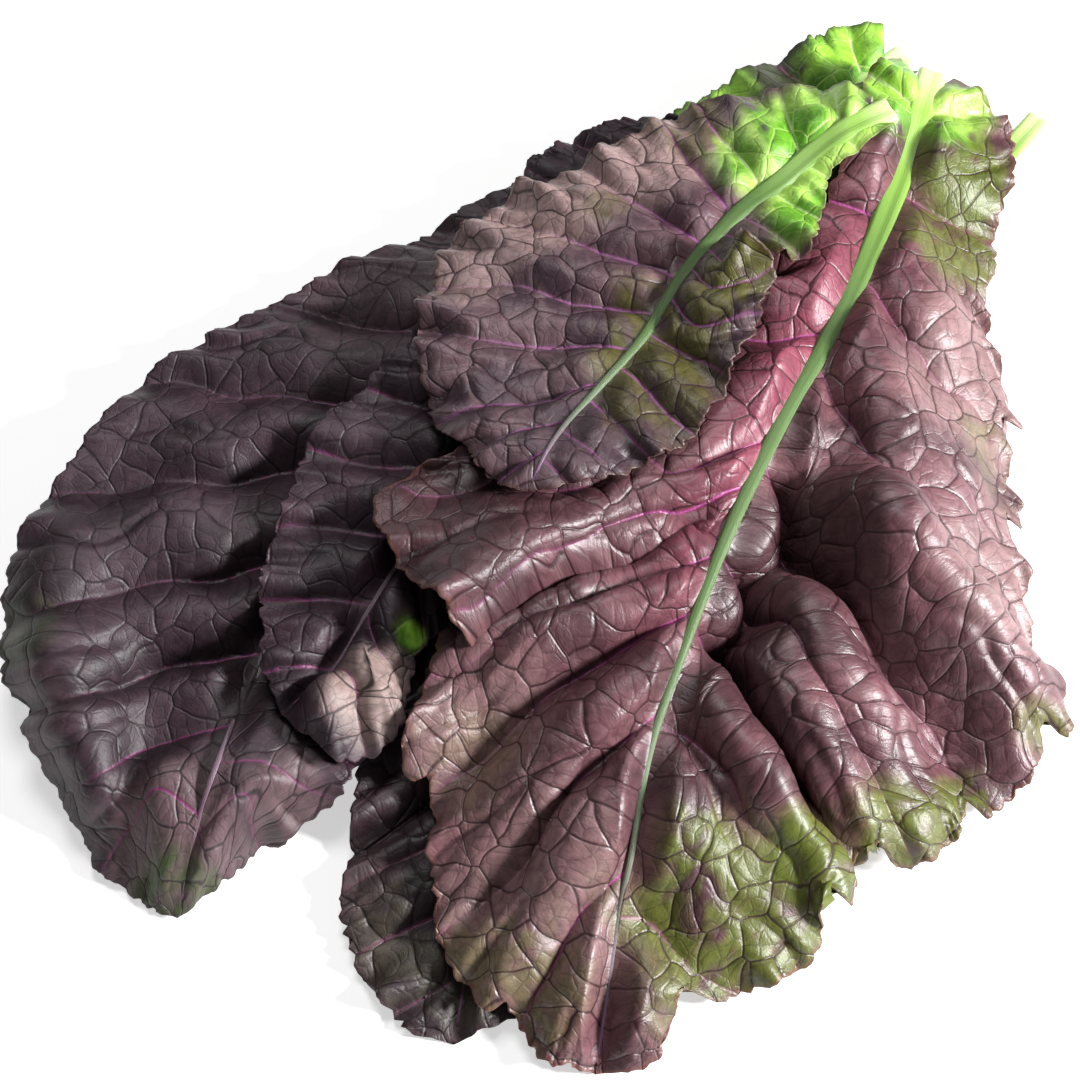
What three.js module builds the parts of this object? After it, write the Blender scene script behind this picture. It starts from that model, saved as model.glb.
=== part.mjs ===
// A bunch of red mustard greens: six long-stalked leaves laid in a fan on a flat surface.
// Each leaf is two solids: a thin pleated blade, and the stalk that runs on under it as the midrib.
// Millimetres, +Z up, the cut stalk ends towards +X +Y, and the leaf tips towards -Y.
import * as THREE from "three";

// Driving dimensions.
const bladeThickness = 1.2;
const stalkGap = 0.7; // between a blade's underside and the stalk below it
const layerGap = 2.2; // between one leaf and the leaf that it lies on
const bladeRows = 30; // faces along a blade
const sideColumns = 6; // faces from the midrib to the margin
const stalkSides = 8;
const heightCell = 3; // grid of the height map that the leaves are stacked with
const spreadCells = 5; // how far one leaf's lift is spread, in cells

// A leaf is a midrib from its cut end, the share of it where the stalk's own body fades out, and on each side a list of lateral veins from the stalk to the tip.
// A vein is [share of the midrib where it leaves, points on its way, point on the margin].
// Both sides end in the vein that carries the midrib on to the tip.
const leaves = {
  right_leaf: {
    midrib: [[192, 185, 8], [172, 160, 8], [150, 118, 8], [128, 60, 8], [112, 5, 8], [104, -45, 8], [103, -85, 7]],
    stalkWidth: 9,
    stalkEnd: 0.95,
    tip: [104, -116, 3],
    left: [
      [0.04, [], [186, 182, 9]],
      [0.08, [], [171, 178, 8]],
      [0.16, [], [148, 160, 5]],
      [0.28, [], [112, 112, 4]],
      [0.42, [], [88, 60, 4]],
      [0.56, [], [74, 10, 3]],
      [0.7, [], [70, -36, 3]],
      [0.85, [], [80, -84, 2]],
    ],
    right: [
      [0.1, [], [176, 160, 7]],
      [0.16, [], [169, 138, 5]],
      [0.28, [], [163, 100, 4]],
      [0.42, [], [156, 50, 3]],
      [0.56, [], [150, 4, 3]],
      [0.7, [], [142, -42, 2]],
      [0.85, [], [128, -90, 2]],
    ],
  },
  lower_leaf: {
    midrib: [[130, 186, 8], [104, 140, 8], [74, 80, 8], [42, 20, 8], [14, -35, 8], [-8, -85, 8], [-20, -130, 6]],
    stalkWidth: 10,
    stalkEnd: 0.95,
    tip: [-28, -176, 1],
    left: [
      [0.06, [], [118, 178, 7]],
      [0.16, [], [80, 138, 4]],
      [0.3, [], [26, 70, 3]],
      [0.44, [], [-20, 12, 3]],
      [0.56, [], [-48, -38, 5]],
      [0.66, [], [-63, -98, 12]],
      [0.73, [], [-61, -112, 3]],
      [0.79, [], [-66, -128, 9]],
      [0.87, [], [-60, -148, 3]],
      [0.94, [], [-49, -167, 2]],
    ],
    right: [
      [0.06, [], [132, 172, 7]],
      [0.16, [], [122, 120, 4]],
      [0.3, [], [102, 60, 3]],
      [0.44, [], [82, 0, 3]],
      [0.58, [], [58, -60, 3]],
      [0.72, [], [34, -112, 3]],
      [0.87, [], [4, -158, 3]],
    ],
  },
  left_leaf: {
    midrib: [
      [142, 211, 12], [130, 201, 12], [116, 185, 13], [78, 150, 15], [20, 100, 18], [-38, 46, 20],
      [-78, -6, 18], [-98, -56, 17], [-107, -92, 30], [-112, -106, 24],
    ],
    stalkWidth: 13,
    stalkEnd: 0.78,
    tip: [-120, -134, 3],
    left: [
      [0.02, [], [138, 222, 15]],
      [0.05, [], [118, 221, 16]],
      [0.09, [], [94, 208, 14]],
      [0.165, [], [62, 190, 12]],
      [0.265, [], [10, 158, 12]],
      [0.36, [], [-48, 124, 14]],
      [0.44, [], [-98, 94, 16]],
      [0.53, [], [-145, 62, 18]],
      [0.6, [], [-174, 16, 20]],
      [0.69, [[-144, -24, 24], [-168, -34, 30]], [-182, -32, 20]],
      [0.77, [[-138, -54, 16], [-157, -68, 30]], [-173, -68, 18]],
      [0.84, [[-132, -80, 18], [-146, -92, 28]], [-159, -96, 14]],
      [0.92, [[-126, -98, 28]], [-144, -119, 3]],
    ],
    right: [
      [0.03, [], [146, 204, 12]],
      [0.09, [], [128, 174, 10]],
      [0.18, [], [108, 140, 10]],
      [0.3, [], [60, 90, 10]],
      [0.42, [], [18, 40, 10]],
      [0.54, [], [-16, -6, 10]],
      [0.66, [], [-40, -52, 8]],
      [0.78, [[-80, -66, 14]], [-60, -86, 10]],
      [0.88, [[-88, -90, 27]], [-68, -98, 12]],
      [0.94, [[-98, -100, 28]], [-94, -112, 6]],
    ],
  },
  middle_leaf: {
    midrib: [
      [134, 186, 24], [112, 164, 24], [76, 126, 25], [33, 86, 26], [-5, 47, 28], [-37, 4, 28],
      [-60, -36, 27], [-72, -58, 25],
    ],
    stalkWidth: 11,
    stalkEnd: 0.92,
    tip: [-86, -72, 22],
    left: [
      [0.03, [], [130, 190, 22]],
      [0.1, [], [88, 172, 20]],
      [0.18, [], [42, 171, 20]],
      [0.27, [], [12, 165, 20]],
      [0.36, [], [-5, 150, 20]],
      [0.45, [], [-24, 116, 22]],
      [0.53, [], [-45, 72, 26]],
      [0.61, [], [-64, 50, 28]],
      [0.69, [], [-81, 28, 30]],
      [0.77, [], [-89, -4, 32]],
      [0.85, [], [-94, -30, 32]],
      [0.93, [], [-92, -56, 28]],
    ],
    right: [
      [0.03, [], [138, 180, 22]],
      [0.1, [], [122, 158, 20]],
      [0.18, [], [106, 130, 22]],
      [0.27, [], [82, 92, 24]],
      [0.36, [], [58, 55, 24]],
      [0.46, [], [34, 15, 24]],
      [0.57, [], [8, -22, 24]],
      [0.67, [], [-12, -42, 26]],
      [0.77, [], [-30, -47, 28]],
      [0.86, [[-54, -50, 32]], [-44, -55, 26]],
      [0.93, [[-64, -60, 32]], [-58, -85, 15]],
    ],
  },
  front_leaf: {
    midrib: [
      [150, 195, 20], [136, 151, 26], [118, 103, 36], [103, 69, 40], [87, 39, 43], [64, -11, 44],
      [47, -55, 40], [36, -87, 34], [30, -119, 27], [26, -136, 20],
    ],
    stalkWidth: 12,
    stalkEnd: 0.95,
    tip: [18, -182, 2],
    left: [
      [0.07, [], [146, 178, 23]],
      [0.12, [], [126, 158, 28]],
      [0.19, [], [106, 132, 30]],
      [0.27, [], [82, 99, 34]],
      [0.35, [], [58, 65, 36]],
      [0.43, [], [27, 33, 38]],
      [0.52, [[33, 1, 46]], [-53, 3, 40]],
      [0.575, [[19, -14, 44]], [-29, -47, 38]],
      [0.6, [[16, -14, 20]], [-22, -37, 14]],
      [0.635, [[14, -25, 38]], [-37, -55, 20]],
      [0.7, [[8, -62, 38]], [-44, -83, 16]],
      [0.77, [[5, -95, 33]], [-33, -109, 18]],
      [0.84, [[0, -117, 26]], [-34, -134, 12]],
      [0.92, [[8, -137, 20]], [-20, -154, 8]],
      [0.97, [[13, -152, 14]], [-1, -176, 3]],
    ],
    right: [
      [0.07, [], [154, 168, 24]],
      [0.12, [], [161, 158, 22]],
      [0.17, [], [168, 140, 20]],
      [0.25, [], [169, 117, 14]],
      [0.31, [], [163, 83, 12]],
      [0.38, [], [170, 43, 8]],
      [0.46, [], [171, 2, 6]],
      [0.54, [], [170, -35, 6]],
      [0.62, [], [180, -69, 4]],
      [0.7, [[106, -55, 30]], [151, -99, 3]],
      [0.75, [[87, -74, 30]], [118, -120, 8]],
      [0.785, [[75, -68, 15]], [105, -109, 3]],
      [0.82, [[68, -92, 26]], [99, -128, 14]],
      [0.88, [[60, -112, 20]], [93, -142, 4]],
      [0.94, [[46, -131, 16]], [60, -158, 3]],
    ],
  },
  top_leaf: {
    midrib: [
      [129, 162, 34], [112, 153, 36], [99, 144, 37], [86, 132, 40], [72, 118, 43], [53, 92, 47], [35, 60, 50],
      [21, 41, 52], [10, 26, 51], [3, 12, 48],
    ],
    stalkWidth: 11,
    stalkEnd: 0.92,
    tip: [-4, -2, 38],
    left: [
      [0.04, [], [123, 168, 34]],
      [0.1, [], [109, 175, 35]],
      [0.18, [], [88, 176, 34]],
      [0.27, [], [59, 168, 33]],
      [0.35, [], [43, 163, 32]],
      [0.43, [], [14, 143, 32]],
      [0.51, [], [-20, 125, 30]],
      [0.59, [], [-39, 93, 30]],
      [0.67, [], [-43, 68, 30]],
      [0.75, [], [-35, 30, 32]],
      [0.84, [], [-22, 15, 34]],
      [0.92, [], [-16, 3, 36]],
    ],
    right: [
      [0.04, [], [130, 156, 34]],
      [0.1, [], [116, 144, 36]],
      [0.18, [], [105, 134, 38]],
      [0.26, [], [101, 112, 41]],
      [0.34, [], [94, 97, 43]],
      [0.39, [], [82, 93, 48]],
      [0.43, [[66, 88, 54]], [70, 99, 60]],
      [0.48, [[62, 76, 56]], [81, 83, 60]],
      [0.55, [[56, 62, 56]], [77, 66, 58]],
      [0.63, [], [65, 43, 52]],
      [0.71, [], [52, 21, 48]],
      [0.79, [], [38, 11, 46]],
      [0.87, [], [25, 5, 44]],
      [0.94, [], [10, 0, 41]],
    ],
  },
};

const stalkColour = 0xa8cf6a;
const bladeColours = {
  right_leaf: 0x6b4a50,
  lower_leaf: 0x3f2b30,
  left_leaf: 0x3a2630,
  middle_leaf: 0x402a34,
  front_leaf: 0x7a4f58,
  top_leaf: 0x55404a,
};

const point = (p) => new THREE.Vector3(...p);
const mix = (a, b, t) => a + (b - a) * t;

// The value of ys at x, where xs rises.
function lookUp(xs, ys, x) {
  let i = 1;
  while (i < xs.length - 1 && xs[i] < x) i += 1;
  const t = Math.min(1, Math.max(0, (x - xs[i - 1]) / (xs[i] - xs[i - 1])));
  return mix(ys[i - 1], ys[i], t);
}

// Half the stalk's width at a share of the midrib: broad at the cut, and a fine rib near the tip.
const halfWidth = (leaf, share) => (leaf.stalkWidth / 2) * (0.12 + 0.88 * (1 - share) ** 0.8);

// A side of the blade as curves, one for each lateral vein, with the share of the midrib where each leaves it.
function veins(leaf, side) {
  const rows = [...leaf[side], [1, [], leaf.tip]];
  const outward = side === "left" ? 1 : -1;
  return rows.map(([share, through, edge]) => {
    const root = leaf.curve.getPointAt(share);
    const along = leaf.curve.getTangentAt(share);
    const across = new THREE.Vector3(along.y, -along.x, 0).normalize().multiplyScalar(outward * halfWidth(leaf, share));
    const points = [root.clone().add(across), ...through.map(point), point(edge)];
    return { share, curve: new THREE.CatmullRomCurve3(points) };
  });
}

// The point at vein number w (not always whole) and share v of the way to the margin.
function surfacePoint(side, w, v) {
  const i = Math.min(side.length - 2, Math.max(0, Math.floor(w)));
  const near = [i - 1, i, i + 1, i + 2].map((k) => side[Math.min(side.length - 1, Math.max(0, k))]);
  const spline = new THREE.CatmullRomCurve3(near.map((vein) => vein.curve.getPointAt(v)));
  return spline.getPoint((1 + w - i) / 3);
}

const sharesOf = (side) => side.map((vein) => vein.share);

// The vein number that a share of the midrib stands at.
const veinNumber = (side, share) => lookUp(sharesOf(side), side.map((_, i) => i), share);

// Where the blade's rows stand on the midrib: as many between two veins, wherever they are.
function rowShares(sides) {
  const { left, right } = sides;
  const start = Math.max(left[0].share, right[0].share);
  const progress = (share) => veinNumber(left, share) / (left.length - 1) + veinNumber(right, share) / (right.length - 1);
  const steps = 400;
  const shares = Array.from({ length: steps + 1 }, (_, i) => mix(start, 1, i / steps));
  const reached = shares.map(progress);
  return Array.from({ length: bladeRows + 1 }, (_, row) => lookUp(reached, shares, mix(reached[0], 2, row / bladeRows)));
}

// Rows across the blade, each from the left margin over the midrib to the right margin.
function bladeGrid(leaf) {
  return leaf.rows.map((share) => {
    const half = (side) =>
      Array.from({ length: sideColumns + 1 }, (_, k) => surfacePoint(side, veinNumber(side, share), k / sideColumns));
    return [...half(leaf.sides.left).reverse(), leaf.curve.getPointAt(share), ...half(leaf.sides.right)];
  });
}

// Faces of the grid as vertex numbers. The last row is the tip's vein, met from both sides, so its halves are one.
function gridFaces(rows, columns) {
  const number = (row, column) =>
    row * columns + (row === rows - 1 ? Math.min(column, columns - 1 - column) : column);
  const faces = [];
  for (let row = 0; row < rows - 1; row += 1) {
    for (let column = 0; column < columns - 1; column += 1) {
      const [a, b, c, d] = [number(row, column), number(row, column + 1), number(row + 1, column + 1), number(row + 1, column)];
      for (const face of [[a, d, b], [b, d, c]]) if (new Set(face).size === 3) faces.push(face);
    }
  }
  return faces;
}

// A sheet of that thickness round the points, closed along its open edges.
function thicken(points, faces, thickness) {
  const sheet = new THREE.BufferGeometry().setFromPoints(points);
  sheet.setIndex(faces.flat());
  sheet.computeVertexNormals();
  const normals = sheet.getAttribute("normal");
  const count = points.length;
  const layer = (side) =>
    points.map((p, i) => p.clone().addScaledVector(new THREE.Vector3().fromBufferAttribute(normals, i), (side * thickness) / 2));
  const walls = new Map();
  for (const [a, b, c] of faces) {
    for (const [from, to] of [[a, b], [b, c], [c, a]]) {
      if (walls.has(`${to},${from}`)) walls.delete(`${to},${from}`);
      else walls.set(`${from},${to}`, [from, to]);
    }
  }
  const index = faces.flatMap(([a, b, c]) => [a, b, c, count + a, count + c, count + b]);
  for (const [from, to] of walls.values()) index.push(to, from, count + from, to, count + from, count + to);
  return { points: [...layer(1), ...layer(-1)], index };
}

function blade(leaf) {
  const grid = bladeGrid(leaf);
  const columns = grid[0].length;
  const faces = gridFaces(grid.length, columns);
  const used = [...new Set(faces.flat())].sort((a, b) => a - b);
  const renumbered = new Map(used.map((old, i) => [old, i]));
  const points = used.map((old) => grid[Math.floor(old / columns)][old % columns]);
  return thicken(points, faces.map((face) => face.map((i) => renumbered.get(i))), bladeThickness);
}

// The stalk and midrib: flat above, half round below, swept under the blade.
function stalk(leaf) {
  const drop = bladeThickness / 2 + stalkGap;
  const shares = [0, leaf.rows[0] / 2, ...leaf.rows.filter((share) => share < leaf.stalkEnd)];
  const points = [];
  for (const share of shares) {
    const centre = leaf.curve.getPointAt(share);
    const along = leaf.curve.getTangentAt(share);
    const across = new THREE.Vector3(along.y, -along.x, 0).normalize();
    const up = new THREE.Vector3().crossVectors(across, along).normalize();
    const half = halfWidth(leaf, share) * 0.86;
    for (let side = 0; side < stalkSides; side += 1) {
      const angle = (Math.PI * side) / (stalkSides - 1);
      const depth = drop + half * 1.1 * Math.sin(angle);
      points.push(centre.clone().addScaledVector(across, half * Math.cos(angle)).addScaledVector(up, -depth));
    }
  }
  const index = [];
  for (let ring = 0; ring < shares.length - 1; ring += 1) {
    for (let side = 0; side < stalkSides; side += 1) {
      const next = (side + 1) % stalkSides;
      const [a, b] = [ring * stalkSides + side, ring * stalkSides + next];
      index.push(a, b, b + stalkSides, a, b + stalkSides, a + stalkSides);
    }
  }
  const last = (shares.length - 1) * stalkSides;
  for (let side = 1; side < stalkSides - 1; side += 1) {
    index.push(0, side + 1, side, last, last + side, last + side + 1);
  }
  return { points, index };
}

// Height map of what is already laid down, over the whole plan.
const reach = 300;
const cells = Math.round((2 * reach) / heightCell) + 1;
const emptyMap = (value) => new Float32Array(cells * cells).fill(value);

function eachCell(piece, visit) {
  const { points, index } = piece;
  for (let i = 0; i < index.length; i += 3) {
    const [a, b, c] = [points[index[i]], points[index[i + 1]], points[index[i + 2]]];
    const area = (b.x - a.x) * (c.y - a.y) - (c.x - a.x) * (b.y - a.y);
    if (Math.abs(area) < 1e-6) continue;
    const span = (get) => [Math.min(get(a), get(b), get(c)), Math.max(get(a), get(b), get(c))];
    const [x0, x1] = span((p) => p.x).map((x) => (x + reach) / heightCell);
    const [y0, y1] = span((p) => p.y).map((y) => (y + reach) / heightCell);
    for (let iy = Math.floor(y0); iy <= Math.ceil(y1); iy += 1) {
      for (let ix = Math.floor(x0); ix <= Math.ceil(x1); ix += 1) {
        const [x, y] = [ix * heightCell - reach, iy * heightCell - reach];
        let u = ((x - a.x) * (c.y - a.y) - (c.x - a.x) * (y - a.y)) / area;
        let v = ((b.x - a.x) * (y - a.y) - (x - a.x) * (b.y - a.y)) / area;
        if (u < -0.2 || v < -0.2 || u + v > 1.2) continue;
        u = Math.min(1, Math.max(0, u));
        v = Math.min(1 - u, Math.max(0, v));
        visit(iy * cells + ix, a.z + u * (b.z - a.z) + v * (c.z - a.z));
      }
    }
  }
}

// The largest, or the mean, of each cell's row and column neighbours.
function spread(map, radius, gather) {
  const pass = (from, step) => {
    const to = emptyMap(0);
    for (let i = radius * cells + radius; i < cells * cells - radius * cells - radius; i += 1) {
      to[i] = gather(Array.from({ length: 2 * radius + 1 }, (_, k) => from[i + (k - radius) * step]));
    }
    return to;
  };
  return pass(pass(map, 1), cells);
}
const largest = (values) => Math.max(...values);
const mean = (values) => values.reduce((a, b) => a + b, 0) / values.length;

// Raises a leaf's pieces, as one, just enough to lie clear of the floor and of the leaves below.
function layDown(pieces, tops) {
  const bottoms = emptyMap(1e6);
  for (const piece of pieces) eachCell(piece, (cell, z) => { bottoms[cell] = Math.min(bottoms[cell], z); });
  let lift = emptyMap(0);
  bottoms.forEach((z, cell) => {
    if (z < 1e5) lift[cell] = Math.max(0, tops[cell] - z + (tops[cell] > 0 ? layerGap : 0));
  });
  lift = spread(spread(lift, spreadCells, largest), spreadCells, mean);
  for (const piece of pieces) {
    for (const p of piece.points) {
      const [gx, gy] = [(p.x + reach) / heightCell, (p.y + reach) / heightCell];
      const cell = Math.floor(gy) * cells + Math.floor(gx);
      const [fx, fy] = [gx % 1, gy % 1];
      p.z += mix(mix(lift[cell], lift[cell + 1], fx), mix(lift[cell + cells], lift[cell + cells + 1], fx), fy);
    }
    eachCell(piece, (cell, z) => { tops[cell] = Math.max(tops[cell], z); });
  }
}

function solid(name, { points, index }, colour) {
  const geometry = new THREE.BufferGeometry().setFromPoints(points);
  geometry.setIndex(index);
  geometry.computeVertexNormals();
  const mesh = new THREE.Mesh(geometry, new THREE.MeshStandardMaterial({ color: colour, roughness: 0.5, metalness: 0 }));
  mesh.name = name;
  return mesh;
}

const bunch = new THREE.Group();
const tops = emptyMap(0);
for (const [name, leaf] of Object.entries(leaves)) {
  leaf.curve = new THREE.CatmullRomCurve3(leaf.midrib.map(point));
  leaf.sides = { left: veins(leaf, "left"), right: veins(leaf, "right") };
  leaf.rows = rowShares(leaf.sides);
  const pieces = [blade(leaf), stalk(leaf)];
  layDown(pieces, tops);
  bunch.add(solid(`${name}_blade`, pieces[0], bladeColours[name]));
  bunch.add(solid(`${name}_stalk`, pieces[1], stalkColour));
}

// The origin is the middle of the bunch's footprint, on the surface that it lies on.
const box = new THREE.Box3().setFromObject(bunch);
bunch.position.set(-(box.min.x + box.max.x) / 2, -(box.min.y + box.max.y) / 2, -box.min.z);

export default bunch;
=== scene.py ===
import math

import bmesh
import bpy
import numpy as np
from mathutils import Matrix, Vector


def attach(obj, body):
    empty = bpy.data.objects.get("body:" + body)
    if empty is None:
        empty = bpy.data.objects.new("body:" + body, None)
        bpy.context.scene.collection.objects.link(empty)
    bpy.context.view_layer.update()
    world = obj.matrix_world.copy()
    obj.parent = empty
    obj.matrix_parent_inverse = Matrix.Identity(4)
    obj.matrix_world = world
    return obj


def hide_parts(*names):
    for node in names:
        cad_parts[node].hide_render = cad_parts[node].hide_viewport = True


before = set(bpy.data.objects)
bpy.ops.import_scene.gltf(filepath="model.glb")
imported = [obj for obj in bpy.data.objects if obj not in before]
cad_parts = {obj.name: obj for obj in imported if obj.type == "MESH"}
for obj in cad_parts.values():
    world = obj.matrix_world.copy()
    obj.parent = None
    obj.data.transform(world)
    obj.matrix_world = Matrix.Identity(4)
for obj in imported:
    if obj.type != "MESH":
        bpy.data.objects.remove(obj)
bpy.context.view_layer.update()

# A bunch of red mustard greens laid in a fan.
# Shapes are set out in millimetres, then moved and scaled to the frame.
drawingShift = np.array([-6.5, -20.0, -0.4])  # from the drawing's origin to the middle of the footprint
spacing = 1.0  # mm between points of a blade, at the wide part
bladeThickness = 0.7  # mm
restGap = 1.6  # mm left between a leaf and what it lies on


def toFrame(points):
    return (np.asarray(points, float) + drawingShift) / 1000.0


def srgb(code):
    code = code.lstrip("#")
    parts = [int(code[i:i + 2], 16) / 255 for i in (0, 2, 4)]
    return tuple(c / 12.92 if c <= 0.04045 else ((c + 0.055) / 1.055) ** 2.4 for c in parts) + (1.0,)


def smooth(a, b, x):
    t = np.clip((x - a) / (b - a), 0, 1)
    return t * t * (3 - 2 * t)


def wavy(x, y, size, seed):
    # smooth random hills of about that size in mm, between -1 and 1
    rng = np.random.default_rng(seed)
    total = 0
    for octave in range(7):
        angle = rng.uniform(0, math.tau)
        step = math.tau / (size * rng.uniform(0.7, 1.6))
        total = total + np.sin((x * math.cos(angle) + y * math.sin(angle)) * step + rng.uniform(0, math.tau))
    return total / 4.0


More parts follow.
